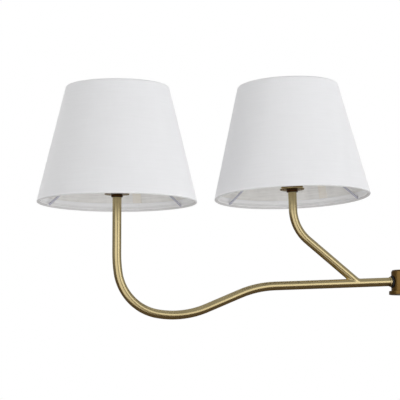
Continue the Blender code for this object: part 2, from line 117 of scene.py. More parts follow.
class SconceShadeSettings(bpy.types.PropertyGroup):
    bottom: length("Bottom radius", "Radius at the lower edge", 125 * MM)
    top: length("Top radius", "Radius at the upper edge", 80.5 * MM)
    height: length("Height", "Height of the shade", 182 * MM)
    drop: length("Drop", "Lower edge under the stem's end", 8.5 * MM)
    linen: length("Linen", "Thickness of the linen", 0.4 * MM)
    liner: length("Liner", "Thickness of the styrene sheet", 0.3 * MM)
    outer_lap: length("Outer lap", "Width of the folded linen seam", 12 * MM)
    inner_lap: length("Inner lap", "Width of the glued overlap in the liner", 15 * MM)
    left_seam: angle("Left seam", "Where the left shade's seam is", 67.0)
    right_seam: angle("Right seam", "Where the right shade's seam is", 52.4)
    wire: length("Fitter wire", "Radius of the fitter's wire", 1.7 * MM)
    left_arm: angle("Left arm", "Where the left fitter's first arm is", 18.4)
    right_arm: angle("Right arm", "Where the right fitter's first arm is", 9.0)
    arm_rise: angle("Arm rise", "How steeply the fitter's arms rise", 36.5)
    hub: length("Fitter height", "Height of the fitter's ring above the stem's end", 51 * MM)


class SconceFinishSettings(bpy.types.PropertyGroup):
    brass: colour("Brass", "Satin antique brass", "#C8B88C")
    brass_dark: colour("Brass shadow", "Darker patina in the brass", "#A08A58")
    cast: colour("Cast brass", "Antiqued brass of the knuckle", "#785E34")
    cast_dark: colour("Cast shadow", "Brown patina on the knuckle", "#3C2A12")
    linen: colour("Linen", "Bleached linen", "#EBEBED")
    linen_slub: colour("Slub", "Thicker threads in the linen", "#D9D9DA")
    # Painted shade: the downward faces of the linen rolled round the wires are drawn in this darker grey.
    hem: colour("Hem", "Linen doubled round the wires", "#C3C2C2")
    liner: colour("Liner", "White styrene liner", "#ECEAE7")
    lap: colour("Lap", "Glued overlap in the liner", "#E9E3DA")
    wire: colour("Wire", "Grey enamel on the shade's wires", "#A9A9B6")
    phenolic: colour("Phenolic", "Moulded lampholder", "#141312")


class SconceStageSettings(bpy.types.PropertyGroup):
    azimuth: angle("Azimuth", "Where the camera looks from", -16.6)
    elevation: angle("Elevation", "How far the camera is above the horizon", -6.8)
    distance: length("Distance", "From the camera to the point it is aimed at", 3147 * MM)
    aim: FloatVectorProperty(
        name="Aim", description="The point in the picture's middle", subtype="XYZ", unit="LENGTH",
        default=(-0.438, 0.0, 0.1209))
    lens: FloatProperty(name="Lens", description="Focal length in millimetres", default=180)
    floor_drop: length("Floor", "How far the floor is below the wall strap", 1600 * MM)
    turn_segments: IntProperty(name="Segments", description="Steps round a turned piece", default=96, min=24)


SETTINGS = {
    "sconce_arm": SconceArmSettings,
    "sconce_shade": SconceShadeSettings,
    "sconce_finish": SconceFinishSettings,
    "sconce_stage": SconceStageSettings,
}


# ---------------------------------------------------------------- modelling by hand


def deselect_all():
    if bpy.context.mode != "OBJECT":
        bpy.ops.object.mode_set(mode="OBJECT")
    bpy.ops.object.select_all(action="DESELECT")


def pick(piece):
    deselect_all()
    piece.select_set(True)
    bpy.context.view_layer.objects.active = piece


def new_name(name):
    piece = bpy.context.object
    piece.name = name
    piece.data.name = name
    return piece


def turn_profile(name, profile, sweep=math.tau, closed=True, segments=None):
    """Extrude a vertex along a profile of (radius, height) in mm and spin it about Z."""
    steps = segments or bpy.context.scene.sconce_stage.turn_segments
    points = [Vector((radius * MM, 0, height * MM)) for radius, height in profile]
    if closed and profile[0][0] > 0:
        points.append(points[0])
    deselect_all()
    bpy.ops.mesh.primitive_plane_add(size=MM)
    piece = new_name(name)
    bpy.ops.object.mode_set(mode="EDIT")
    bpy.ops.mesh.select_all(action="SELECT")
    bpy.ops.mesh.merge(type="CENTER")
    bpy.ops.transform.translate(value=points[0])
    for before, after in zip(points, points[1:]):
        bpy.ops.mesh.extrude_region_move(TRANSFORM_OT_translate={"value": after - before})
    bpy.ops.mesh.select_all(action="SELECT")
    bpy.ops.mesh.remove_doubles(threshold=WELD)
    bpy.ops.mesh.spin(steps=steps, angle=sweep, center=(0, 0, 0), axis=(0, 0, 1))
    bpy.ops.mesh.select_all(action="SELECT")
    bpy.ops.mesh.remove_doubles(threshold=WELD)
    bpy.ops.mesh.normals_make_consistent(inside=False)
    bpy.ops.object.mode_set(mode="OBJECT")
    return piece


def apply_modifier(piece, kind, settings):
    pick(piece)
    modifier = piece.modifiers.new(kind.lower(), kind)
    for key, value in settings.items():
        setattr(modifier, key, value)
    bpy.ops.object.modifier_apply(modifier=modifier.name)


def round_edges(piece, width, segments=2):
    """Bevel every edge sharper than EDGE_ANGLE; the width is in mm."""
    apply_modifier(piece, "BEVEL", {
        "width": width * MM, "segments": segments, "limit_method": "ANGLE",
        "angle_limit": math.radians(EDGE_ANGLE), "use_clamp_overlap": True})


def cut_with(piece, cutter, operation="DIFFERENCE"):
    apply_modifier(piece, "BOOLEAN", {"operation": operation, "object": cutter, "solver": "EXACT"})
    bpy.data.objects.remove(cutter, do_unlink=True)


def put(piece, matrix):
    """Move a piece to its place and write that place into its mesh."""
    pick(piece)
    piece.matrix_world = matrix @ piece.matrix_world
    bpy.ops.object.transform_apply(location=True, rotation=True, scale=True)


def along(point, axis):
    """A frame at a point with +Z along an axis and the least twist."""
    turn = UP.rotation_difference(Vector(axis)).to_matrix().to_4x4()
    return Matrix.Translation(point) @ turn


def stem_frame(side):
    joint = JOINTS[side + "_shade_turn"]
    return along(Vector(joint["pos_m"]), joint["axis"])


def lay_uv(piece, chart, period, wraps=0):
    """Write a UV map in metres from chart(point); coordinate number wraps starts over after period."""
    layer = piece.data.uv_layers.new(name="grain")
    piece.data.uv_layers.active = layer
    spots = [chart(vertex.co) for vertex in piece.data.vertices]
    for face in piece.data.polygons:
        corners = [list(spots[index]) for index in face.vertices]
        highest = max(corner[wraps] for corner in corners)
        for loop, corner in zip(face.loop_indices, corners):
            if highest - corner[wraps] > period / 2:
                corner[wraps] += period
            layer.data[loop].uv = corner


def turned_chart(matrix, radius):
    """Brush marks run round a turned piece: u is the way round and v runs across."""
    back = matrix.inverted()

    def chart(point):
        local = back @ point
        around = math.atan2(local.y, local.x) % math.tau
        return around * radius, math.hypot(local.x, local.y) + local.z

    return chart


def finish(piece, body, slot, replaces=(), smooth=35, material=None):
    """Shade a piece, give it its material and let it ride on its body.

    The material has the slot's name unless another is named; smooth is in degrees.
    """
    pick(piece)
    bpy.ops.object.shade_smooth_by_angle(angle=math.radians(smooth))
    apply_modifier(piece, "WEIGHTED_NORMAL", {"keep_sharp": True})
    piece.data.materials.clear()
    piece.data.materials.append(MATERIALS[material or slot])
    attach(piece, body)
    if replaces:
        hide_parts(*replaces)
    return piece


def turned_piece(name, node, profile, matrix, body, slot, edge, segments=None, cuts=(), material=None):
    """A turned piece from profile to finish; cuts are made before it is put in place."""
    piece = turn_profile(name, profile, segments=segments)
    for cutter in cuts:
        cut_with(piece, cutter)
    if edge:
        round_edges(piece, edge)
    put(piece, matrix)
    reach = max(radius for radius, _ in profile) * MM
    lay_uv(piece, turned_chart(matrix, reach), math.tau * reach)
    return finish(piece, body, slot, [node], material=material)


def carve_rim(piece, beyond, depth_at):
    """Push the rim in by depth_at(angle) wherever a piece reaches beyond a radius; all in mm."""
    for vertex in piece.data.vertices:
        reach = math.hypot(vertex.co.x, vertex.co.y)
        if reach > beyond * MM:
            inward = 1 - depth_at(math.atan2(vertex.co.y, vertex.co.x)) * MM / reach
            vertex.co.x *= inward
            vertex.co.y *= inward


def arc(start, end, steps):
    """Angles in radians from start to end degrees."""
    return [math.radians(start + (end - start) * step / steps) for step in range(steps + 1)]


def cylinder(radius, low, high, matrix=None, sides=64):
    """A plain cylinder to cut with, from low to high along Z, all in mm."""
    deselect_all()
    middle = (0, 0, (low + high) / 2 * MM)
    bpy.ops.mesh.primitive_cylinder_add(
        vertices=sides, radius=radius * MM, depth=(high - low) * MM, location=middle)
    cutter = new_name("cutter")
    put(cutter, matrix or Matrix.Identity(4))
    return cutter


def box_piece(name, low, high):
    """A box between two corners in mm."""
    deselect_all()
    middle = [(a + b) / 2 * MM for a, b in zip(low, high)]
    bpy.ops.mesh.primitive_cube_add(size=1, location=middle)
    piece = new_name(name)
    piece.scale = [(b - a) * MM for a, b in zip(low, high)]
    bpy.ops.object.transform_apply(location=True, rotation=True, scale=True)
    return piece


# ---------------------------------------------------------------- materials


def add_node(tree, kind, values=None, links=None):
    """Add a node with its settings and links; a key is a socket's name or number, or a setting."""
    node = tree.nodes.new(kind)
    for key, value in (values or {}).items():
        if isinstance(key, int) or key in node.inputs:
            node.inputs[key].default_value = value
        else:
            setattr(node, key, value)
    for key, source in (links or {}).items():
        tree.links.new(source, node.inputs[key])
    return node


def new_material(name, values):
    """A Principled material with its constant values; returns it with its tree and shader."""
    material = bpy.data.materials.new(name)
    material.use_nodes = True
    tree = material.node_tree
    shader = tree.nodes["Principled BSDF"]
    for key, value in values.items():
        shader.inputs[key].default_value = value
    return material, tree, shader


def feed(shader, sources):
    """Link a source to each named socket of a shader."""
    for socket, source in sources.items():
        shader.id_data.links.new(source, shader.inputs[socket])


def coordinates(tree, kind):
    """The piece's own grain map, or object coordinates for a piece that has none."""
    if kind == "grain":
        return add_node(tree, "ShaderNodeUVMap", {"uv_map": "grain"}).outputs["UV"]
    return add_node(tree, "ShaderNodeTexCoord").outputs["Object"]


def grain(tree, cells, detail=3.0, seed=0.0, on=None):
    """Noise on coordinates in metres; cells is the size of its cells in mm along each axis."""
    source = coordinates(tree, "object") if on is None else on
    scale = [1 / (cell * MM) for cell in cells]
    mapped = add_node(tree, "ShaderNodeMapping", {"Scale": scale, "Location": (seed, seed, seed)},
                      {"Vector": source})
    noise = add_node(tree, "ShaderNodeTexNoise", {"Scale": 1.0, "Detail": detail, "Roughness": 0.55},
                     {"Vector": mapped.outputs["Vector"]})
    return noise.outputs["Fac"]


def spread(tree, value, low, high, to_low, to_high):
    node = add_node(tree, "ShaderNodeMapRange", {
        "From Min": low, "From Max": high, "To Min": to_low, "To Max": to_high}, {"Value": value})
    return node.outputs["Result"]


def combine(tree, operation, *terms):
    """A Math node on terms that are each a number or a socket."""
    values, links = {"operation": operation}, {}
    for place, term in enumerate(terms):
        group = links if isinstance(term, bpy.types.NodeSocket) else values
        group[place] = term
    return add_node(tree, "ShaderNodeMath", values, links).outputs[0]


def part_of(tree, vector, axis):
    """One of a vector's three parts."""
    return add_node(tree, "ShaderNodeSeparateXYZ", {}, {"Vector": vector}).outputs[axis]


def blend_colours(tree, amount, first, second):
    """Mix two colours, each a hex code, a linear colour or a socket."""
    values, links = {"data_type": "RGBA"}, {0: amount}
    for place, paint in ((6, first), (7, second)):
        if isinstance(paint, bpy.types.NodeSocket):
            links[place] = paint
        else:
            values[place] = (*(hex_colour(paint) if isinstance(paint, str) else paint), 1)
    return add_node(tree, "ShaderNodeMix", values, links).outputs[2]


def raise_bump(tree, shader, height, strength, distance):
    bump = add_node(tree, "ShaderNodeBump", {"Strength": strength, "Distance": distance * MM},
                    {"Height": height})
    feed(shader, {"Normal": bump.outputs["Normal"]})


def satin_antique_brass(name, kind, light, dark, roughness, stretch=0.0):
    """Lacquered brass: a soft gloss with faint lines and a brown bloom in places.

    stretch draws the highlights out along the grain map's u, as the linishing belt does on a tube.
    """
    material, tree, shader = new_material(name, {"Metallic": 1.0, "Anisotropic": stretch})
    # The belt's marks are 0.1 mm wide; drawn 1.6 mm wide so that they show at arm's length.
    lines = grain(tree, (60, 1.6, 1.6), 1.0, on=coordinates(tree, kind))
    bloom = grain(tree, (30, 30, 30), 2.0, 3.0)
    lined = blend_colours(tree, spread(tree, lines, 0.35, 0.7, 0.0, 0.1), light, dark)
    mottled = blend_colours(tree, spread(tree, bloom, 0.5, 0.8, 0.0, 0.15), lined, dark)
    matt = spread(tree, lines, 0.3, 0.7, roughness - 0.015, roughness + 0.02)
    feed(shader, {"Base Color": mottled, "Roughness": matt})
    if stretch:
        belt = add_node(tree, "ShaderNodeTangent", {"direction_type": "UV_MAP", "uv_map": "grain"})
        feed(shader, {"Tangent": belt.outputs["Tangent"]})
    return material


def turned_bright_brass():
    """Bare turned brass inside the light: yellow and brighter than the lacquered parts."""
    material, tree, shader = new_material("bright turned brass", {"Metallic": 1.0, "Roughness": 0.25})
    tool_marks = grain(tree, (8, 8, 0.4))
    feed(shader, {"Base Color": blend_colours(tree, tool_marks, "#E0B860", "#C79A45")})
    raise_bump(tree, shader, tool_marks, 0.15, 0.02)
    return material


def dark_bronze():
    """Chemically darkened collar: near black with brown where hands have rubbed it."""
    material, tree, shader = new_material("darkened bronze", {"Metallic": 0.9, "Roughness": 0.42})
    rub = grain(tree, (4, 4, 4))
    feed(shader, {"Base Color": blend_colours(tree, rub, "#2A1C10", "#5A3D1E"),
                  "Roughness": spread(tree, rub, 0.3, 0.7, 0.32, 0.5)})
    return material


def zinc_plated_steel():
    """Bright zinc over pressed steel: pale, slightly blotched crystals."""
    material, tree, shader = new_material("zinc plated steel", {"Metallic": 1.0, "Roughness": 0.38})
    crystals = add_node(tree, "ShaderNodeTexVoronoi", {"Scale": 1 / (3 * MM)},
                        {"Vector": coordinates(tree, "object")}).outputs["Color"]
    tone = add_node(tree, "ShaderNodeRGBToBW", {}, {"Color": crystals}).outputs["Val"]
    feed(shader, {"Base Color": blend_colours(tree, tone, "#B9BCC0", "#A3A5A6"),
                  "Roughness": spread(tree, tone, 0.0, 1.0, 0.3, 0.45)})
    return material


def moulded_plastic(name, base, second, roughness, cell, depth):
    """A moulded polymer: an even colour with a fine spark eroded grain."""
    material, tree, shader = new_material(name, {"Roughness": roughness, "IOR": 1.5})
    speckle = grain(tree, (cell, cell, cell), 2.0)
    feed(shader, {"Base Color": blend_colours(tree, speckle, base, second),
                  "Roughness": spread(tree, speckle, 0.3, 0.7, roughness - 0.05, roughness + 0.06)})
    raise_bump(tree, shader, speckle, 0.25, depth)
    return material


def braided_flex():
    """Cotton braid over flex: two crossing sets of gold threads, 1.2 mm apart."""
    material, tree, shader = new_material("braided cotton flex", {"Roughness": 0.75, "Sheen Weight": 0.2})
    source = coordinates(tree, "object")
    bands = []
    for turn in (35, -35):
        mapped = add_node(tree, "ShaderNodeMapping", {"Rotation": (0, math.radians(turn), 0)},
                          {"Vector": source})
        wave = add_node(tree, "ShaderNodeTexWave", {"Scale": 1 / (1.2 * MM) / 6.28, "Distortion": 0.4},
                        {"Vector": mapped.outputs["Vector"]})
        bands.append(wave.outputs["Fac"])
    cross = combine(tree, "MAXIMUM", *bands)
    feed(shader, {"Base Color": blend_colours(tree, cross, "#6B5424", "#C9A557")})
    raise_bump(tree, shader, cross, 0.4, 0.15)
    return material


def opal_glass():
    """Inside frosted opal bulb: milky, smooth outside, faintly uneven milk."""
    material, tree, shader = new_material("opal bulb glass", {
        "Roughness": 0.18, "IOR": 1.5, "Coat Weight": 0.6, "Coat Roughness": 0.05})
    milk = grain(tree, (12, 12, 12), 2.0)
    feed(shader, {"Base Color": blend_colours(tree, milk, "#F4F3EE", "#E9E8E2"),
                  "Roughness": spread(tree, milk, 0.3, 0.7, 0.14, 0.22)})
    return material


def slub_linen():
    """Bleached linen with slubs: weft threads that thicken for 20 to 60 mm, a finer even warp.

    Real threads are 0.5 mm apart; they are drawn 1.3 mm apart, as fine as a render shows.
    """
    finishes = bpy.context.scene.sconce_finish
    material, tree, shader = new_material("bleached slub linen", {
        "Roughness": 0.92, "Sheen Weight": 0.1, "Sheen Roughness": 0.5, "IOR": 1.45,
        "Subsurface Weight": 1.0, "Subsurface Radius": (1, 1, 1), "Subsurface Scale": 1 * MM})
    source = coordinates(tree, "grain")
    weft = grain(tree, (38, 1.5, FLAT), 2.0, on=source)
    slub = grain(tree, (60, 2.6, FLAT), 1.0, 7.0, source)
    warp = grain(tree, (1.3, 30, FLAT), 1.0, 2.0, source)
    tone = grain(tree, (35, 160, FLAT), 1.0, 5.0, source)
    height = combine(tree, "MULTIPLY_ADD", slub, 1.5, combine(tree, "ADD", weft, warp))
    woven = blend_colours(tree, spread(tree, height, 1.35, 2.2, 0.0, 0.14), finishes.linen,
                          finishes.linen_slub)
    toned = blend_colours(tree, spread(tree, tone, 0.4, 0.7, 0.0, 0.06), woven, finishes.linen_slub)
    raise_bump(tree, shader, height, 0.05, 0.2)
    # The hem colour is painted shade on the downward faces of the rolled edges, where no light comes through
    # either.
    doubled = hem_doubling_and_painted_shade(tree, source)
    feed(shader, {"Base Color": blend_colours(tree, doubled, toned, finishes.hem),
                  "Subsurface Weight": spread(tree, doubled, 0.0, 1.0, 1.0, 0.0)})
    return material


def hem_doubling_and_painted_shade(tree, source):
    """1 where the cloth is doubled round the wires and faces down: denser there, no light comes through it, and
    its colour is painted shade.
    """
    shade = bpy.context.scene.sconce_shade
    edge = shade.height / 2
    centred = combine(tree, "SUBTRACT", part_of(tree, source, "Y"), edge - shade.drop)
    from_middle = combine(tree, "ABSOLUTE", centred)
    near_edge = spread(tree, from_middle, edge - 6 * MM, edge - 4 * MM, 0.0, 1.0)
    facing = add_node(tree, "ShaderNodeNewGeometry").outputs["Normal"]
    # Only the downward faces of the rolled edges get the painted shade.
    facing_down = spread(tree, part_of(tree, facing, "Z"), -0.35, 0.0, 1.0, 0.0)
    return combine(tree, "MULTIPLY", near_edge, facing_down)


def styrene_sheet(name, base, second):
    """White styrene laminated behind the linen: satin, with the cloth showing through as faint lines."""
    material, tree, shader = new_material(name, {
        "Roughness": 0.6, "IOR": 1.5, "Subsurface Weight": 1.0, "Subsurface Radius": (1, 1, 1),
        "Subsurface Scale": 1 * MM})
    source = coordinates(tree, "grain")
    shadow = grain(tree, (30, 2.4, FLAT), 2.0, on=source)
    cloud = grain(tree, (18, 30, FLAT), 2.0, 4.0, source)
    both = combine(tree, "MULTIPLY", shadow, cloud)
    paint = blend_colours(tree, spread(tree, both, 0.12, 0.45, 0.0, 1.0), base, second)
    feed(shader, {"Base Color": paint})
    raise_bump(tree, shader, shadow, 0.08, 0.1)
    return material


def enamelled_wire():
    """Grey white enamel dipped on steel wire: glossy, thin at the high spots."""
    finishes = bpy.context.scene.sconce_finish
    material, tree, shader = new_material("grey enamelled wire", {"Roughness": 0.35, "Coat Weight": 0.3})
    drip = grain(tree, (5, 5, 5))
    thin = spread(tree, drip, 0.4, 0.8, 0.0, 0.5)
    feed(shader, {"Base Color": blend_colours(tree, thin, finishes.wire, "#8A8A94"),
                  "Roughness": spread(tree, drip, 0.3, 0.7, 0.28, 0.42)})
    return material


def pale_floor():
    """Painted studio floor: matt, with a faint rolled texture."""
    material, tree, shader = new_material("painted studio floor", {"Roughness": 0.8})
    feed(shader, {"Base Color": blend_colours(tree, grain(tree, (60, 60, 60)), "#EDEDED", "#E6E6E6")})
    return material


def make_materials():
    finishes = bpy.context.scene.sconce_finish
    light, dark = finishes.brass, finishes.brass_dark
    return {
        "tube_brass": satin_antique_brass("satin antique brass tube", "grain", light, dark, 0.2, 0.85),
        "aged_brass": satin_antique_brass("satin antique brass", "grain", light, dark, 0.2),
        "aged_brass_cad": satin_antique_brass(
            "satin antique brass, small parts", "object", light, dark, 0.2),
        "cast_brass": satin_antique_brass(
            "cast antique brass", "grain", finishes.cast, finishes.cast_dark, 0.3),
        "bright_brass": turned_bright_brass(),
        "dark_bronze": dark_bronze(),
        "zinc_steel": zinc_plated_steel(),
        "black_nylon": moulded_plastic("matt black nylon", "#0B0B0B", "#151515", 0.55, 0.8, 0.03),
        "white_nylon": moulded_plastic("natural nylon", "#DEDBD0", "#D2CEC2", 0.45, 1.0, 0.03),
        "black_phenolic": moulded_plastic(
            "moulded black phenolic", finishes.phenolic, "#22201E", 0.32, 1.2, 0.02),
        "steatite": moulded_plastic("pressed steatite", "#E4E0D4", "#D3CEC0", 0.5, 0.9, 0.05),
        "cable_sheath": braided_flex(),
        "opal_glass": opal_glass(),
        "white_fabric": slub_linen(),
        "liner": styrene_sheet("white styrene liner", finishes.liner, "#D5D3D0"),
        "lap": styrene_sheet("glued liner overlap", finishes.lap, "#E0D8CB"),
        "frame_wire": enamelled_wire(),
        "floor": pale_floor(),
    }


MATERIALS = {}


# ---------------------------------------------------------------- the arm


ARM_BENDS = ((215, 170, -20), (60, 147, 32), (0, 75, 72.6), (0, 200, 8.6))
BRANCH_BENDS = ((107.82, 64, 49.83),)


def direction(heading):
    """Outward along -X and up by the heading, in radians."""
    return Vector((-math.cos(heading), 0, math.sin(heading)))


def square_to(heading):
    return Vector((math.sin(heading), 0, math.cos(heading)))


def bend_tube(name, radius, place, heading, bends, stem, sides=48):
    """Extrude a ring along each straight and spin it round each bend; returns the tube and its line."""
    deselect_all()
    bpy.ops.mesh.primitive_circle_add(
        vertices=sides, radius=radius, fill_type="NOTHING", location=place,
        rotation=(0, heading - math.pi / 2, 0))
    piece = new_name(name)
    bpy.ops.object.transform_apply(location=True, rotation=True, scale=True)
    bpy.ops.object.mode_set(mode="EDIT")
    bpy.ops.mesh.select_all(action="SELECT")
    line = [place.copy()]
    for straight, bend_radius, turn in bends:
        if straight:
            step = direction(heading) * straight * MM
            bpy.ops.mesh.extrude_region_move(TRANSFORM_OT_translate={"value": step})
            line.append(line[-1] + step)
        side = math.copysign(1.0, turn)
        centre = line[-1] + square_to(heading) * side * bend_radius * MM
        steps = math.ceil(abs(turn) / BEND_STEP)
        bpy.ops.mesh.spin(steps=steps, angle=math.radians(abs(turn)), center=centre, axis=(0, -side, 0))
        begin = heading
        for step in range(1, steps + 1):
            heading = begin + math.radians(turn) * step / steps
            line.append(centre - square_to(heading) * side * bend_radius * MM)
    last = direction(heading) * stem
    bpy.ops.mesh.extrude_region_move(TRANSFORM_OT_translate={"value": last})
    line.append(line[-1] + last)
    bpy.ops.mesh.select_all(action="SELECT")
    bpy.ops.mesh.remove_doubles(threshold=WELD)
    bpy.ops.mesh.normals_make_consistent(inside=False)
    bpy.ops.object.mode_set(mode="OBJECT")
    face = piece.data.polygons[0]
    if face.normal.dot(face.center - place) < 0:
        piece.data.flip_normals()
    return piece, line


def tube_chart(line, radius):
    """Brush marks run along a tube: u is the way along its line and v the way round."""
    starts = [0.0]
    for before, after in zip(line, line[1:]):
        starts.append(starts[-1] + (after - before).length)

    def chart(point):
        best = None
        for index, (before, after) in enumerate(zip(line, line[1:])):
            run = after - before
            share = min(1.0, max(0.0, (point - before).dot(run) / run.length_squared))
            foot = before + run * share
            gap = (point - foot).length
            if best is None or gap < best[0]:
                best = (gap, starts[index] + run.length * share, point - foot, run.normalized())
        out, run = best[2], best[3]
        sideways = Vector((0, 1, 0))
        over = run.cross(sideways)
        return best[1], (math.atan2(out.dot(over), out.dot(sideways)) % math.tau) * radius

    return chart


class SCONCE_OT_arm(bpy.types.Operator):
    """Bend the main tube and the branch, and braze the branch on"""

    bl_idname = "sconce.arm"
    bl_label = "Arm tubes"

    def execute(self, context):
        arm = context.scene.sconce_arm
        hollow = {"thickness": arm.wall, "offset": -1.0}
        first = PIVOT + direction(arm.slope) * arm.start
        bends = [list(bend) for bend in ARM_BENDS]
        bends[0][0] -= arm.start / MM
        tube, line = bend_tube("arm_tube", arm.tube_radius, first, arm.slope, bends, arm.stem)
        apply_modifier(tube, "SOLIDIFY", hollow)
        round_edges(tube, 0.2)
        lay_uv(tube, tube_chart(line, arm.tube_radius), math.tau * arm.tube_radius, wraps=1)
        finish(tube, "arm", "aged_brass", ["main_arm_tube"], material="tube_brass")

        foot = PIVOT + Vector((-arm.branch_at, 0, -arm.branch_drop))
        side, side_line = bend_tube(
            "branch_arm_tube", arm.branch_radius, foot, arm.branch_slope, BRANCH_BENDS, arm.branch_stem)
        apply_modifier(side, "SOLIDIFY", hollow)
        lean = Matrix.Rotation(-arm.branch_lean, 4, "X")
        put(side, lean)
        side_line = [lean @ point for point in side_line]
        main_axis = along(PIVOT, direction(arm.slope))
        cut_with(side, cylinder(arm.tube_radius / MM + 0.02, 20, 200, main_axis, 96))
        round_edges(side, 0.15)
        lay_uv(side, tube_chart(side_line, arm.branch_radius), math.tau * arm.branch_radius, wraps=1)
        finish(side, "arm", "aged_brass", ["branch_tube"], material="tube_brass")
        braze = braze_fillet("branch_braze", side_line, arm)
        finish(braze, "arm", "aged_brass", smooth=60, material="aged_brass_cad")
        return {"FINISHED"}


def braze_fillet(name, side_line, arm, around=72, across=7):
    """A concave bead of braze where the branch's foot meets the main tube."""
    axis = direction(arm.slope)
    run = (side_line[1] - side_line[0]).normalized()
    across_run = run.cross(Vector((0, 1, 0))).normalized()
    sideways = run.cross(across_run)
    shape = bmesh.new()
    rings = []
    for index in range(around):
        turn = math.tau * index / around
        spoke = across_run * math.cos(turn) + sideways * math.sin(turn)
        base = side_line[0] + spoke * arm.branch_radius - PIVOT
        flat_base = base - axis * base.dot(axis)
        flat_run = run - axis * run.dot(axis)
        a = flat_run.length_squared
        b = 2 * flat_base.dot(flat_run)
        c = flat_base.length_squared - arm.tube_radius ** 2
        travel = (-b + math.sqrt(max(0.0, b * b - 4 * a * c))) / (2 * a)
        meet = base + run * travel
        upper = meet + run * arm.fillet
        outward = (meet - axis * meet.dot(axis)).normalized()
        away = spoke - outward * spoke.dot(outward)
        lower = meet + away.normalized() * arm.fillet
        lower_flat = lower - axis * lower.dot(axis)
        lower = lower + lower_flat.normalized() * (arm.tube_radius - lower_flat.length)
        ring = []
        for step in range(across):
            share = step / (across - 1)
            point = upper * (1 - share) ** 2 + meet * 2 * share * (1 - share) + lower * share ** 2
            ring.append(PIVOT + point)
        sunk = meet - spoke * 0.3 * MM - outward * 0.3 * MM
        ring.append(PIVOT + sunk)
        rings.append([shape.verts.new(point) for point in ring])
    for ring, following in zip(rings, rings[1:] + rings[:1]):
        for place in range(len(ring)):
            after = (place + 1) % len(ring)
            shape.faces.new((ring[place], ring[after], following[after], following[place]))
    bmesh.ops.recalc_face_normals(shape, faces=shape.faces)
    mesh = bpy.data.meshes.new(name)
    shape.to_mesh(mesh)
    shape.free()
    piece = bpy.data.objects.new(name, mesh)
    bpy.context.scene.collection.objects.link(piece)
    return piece


# ---------------------------------------------------------------- the knuckle and the wall side


class SCONCE_OT_knuckle(bpy.types.Operator):
    """Turn the swivel barrel, its cap, washer and ferrule, and shape the bracket under it"""

    bl_idname = "sconce.knuckle"
    bl_label = "Knuckle"

    def execute(self, context):
        upright = Matrix.Translation(PIVOT)
        outward = along(PIVOT, direction(context.scene.sconce_arm.slope))
        from_barrel = Matrix.Translation(-PIVOT) @ outward
        slot = box_piece("cutter", (-3, -20, -3.6), (20, 20, 3.6))
        spot_face = cylinder(10.6, 13.7, 22, from_barrel)
        spigot_hole = cylinder(5.9, 6, 20, from_barrel)
        barrel = [(12.4, 16.2), (14.5, 16.2), (15.2, 15.5), (15.2, -15.4), (14.3, -15.4), (14.3, -14.3),
                  (8.3, -14.3), (8.3, 7), (12.4, 7)]
        turned_piece("barrel", "swivel_barrel", barrel, upright, "arm", "aged_brass", 0.2,
                     cuts=(slot, spot_face, spigot_hole), material="cast_brass")
        cap = [(0, 18.3), (12.2, 18.3), (13.5, 17.9), (14.4, 17), (14.4, 16.5), (12.1, 16.5),
               (12.1, 14.8), (0, 14.8)]
        turned_piece("barrel_top_cap", "barrel_cap", cap, upright, "arm", "aged_brass", 0.15,
                     material="cast_brass")
        washer = [(9.8, 15.6), (9.8, 15.0), (9.2, 14.0), (5.9, 14.0), (5.9, 16.6), (9.2, 16.6)]
        turned_piece("arm_black_washer", "arm_washer", washer, outward, "arm", "black_nylon", 0.3)
        ferrule = [(5.6, 31.9), (5.6, 19.6), (7.5, 19.6), (8.2, 18.7), (8.2, 17.4), (7.8, 16.9),
                   (5.6, 16.9), (5.6, 9.6), (3.2, 9.6), (3.2, 31.9)]
        turned_piece("arm_end_ferrule", "arm_ferrule", ferrule, outward, "arm", "aged_brass", 0.15)
        shape_bracket(upright)
        return {"FINISHED"}


def shape_bracket(upright):
    """The L shaped bracket: a round ear under the barrel and a plate that the tube is brazed to."""
    reach, hole = 18.9, 8.3
    bracket = box_piece("pivot_ear_bracket", (18.5, -12, -21.4), (24.5, 12, 12))
    round_edges(bracket, 1.2, 3)
    neck = box_piece("cutter", (10.5, -11.2, -20.6), (19.5, 11.2, -16.5))
    cut_with(bracket, neck, "UNION")
    ear = cylinder(reach, -21.4, -15.7, sides=96)
    round_edges(ear, 0.5)
    cut_with(bracket, ear, "UNION")
    cut_with(bracket, cylinder(hole, -40, -10))
    cut_with(bracket, cylinder(5, 10, 30, Matrix.Rotation(math.radians(90), 4, "Y")))
    put(bracket, upright)
    lay_uv(bracket, turned_chart(upright, reach * MM), math.tau * reach * MM)
    finish(bracket, "root", "aged_brass", ["pivot_bracket"], 30, "cast_brass")


def wall_axis(place):
    """A frame on the wall plane, level with a place, with +Z straight out."""
    return along(Vector((0, place.y, place.z)), (-1, 0, 0))


